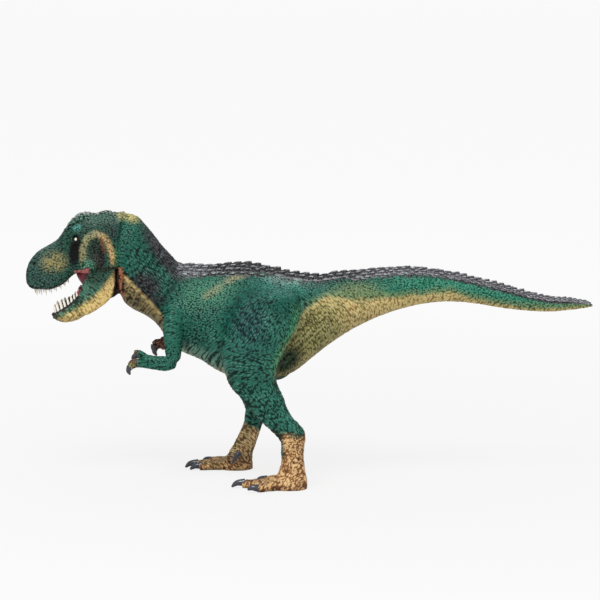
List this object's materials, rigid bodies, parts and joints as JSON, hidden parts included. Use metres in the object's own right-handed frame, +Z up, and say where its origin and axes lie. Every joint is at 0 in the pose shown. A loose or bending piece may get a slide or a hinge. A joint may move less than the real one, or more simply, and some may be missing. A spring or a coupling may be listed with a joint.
{
  "type": "toy dinosaur figure",
  "caption": "Two-legged meat-eating dinosaur figure in painted soft plastic, standing with its tail level and its hinged lower jaw open.",
  "frame": {"origin": "middle of the length and the width, at the height of the soles", "axes": "snout to -X, tail to +X, the figure's left side to -Y, +Z up"},
  "size_m": [0.3153, 0.086, 0.1515],
  "materials": {
    "skin": "soft plastic, painted green with ochre belly and feet and a charcoal back",
    "teeth": "ivory paint with a light gloss",
    "gum": "pink gum and tongue with a light gloss",
    "eye": "clear gloss over a dark eye",
    "core": "unpainted hard plastic",
    "pin": "drawn steel pin"
  },
  "bodies": {
    "figure": {"torso": "skin", "core_left_half": "core", "core_right_half": "core", "head": "skin", "upper_teeth": "teeth", "jaw_hinge_pin": "pin", "left_eye": "eye", "right_eye": "eye", "tail": "skin", "left_leg": "skin", "right_leg": "skin", "left_arm": "skin", "right_arm": "skin"},
    "jaw": {"lower_jaw": "skin", "lower_teeth": "gum"}
  },
  "joints": [
    {"name": "jaw_hinge", "type": "hinge", "parent": "figure", "child": "jaw", "pos_m": [-0.1123, 0, 0.12256], "axis": [0, 1, 0], "range_deg": [-3, 20]}
  ]
}
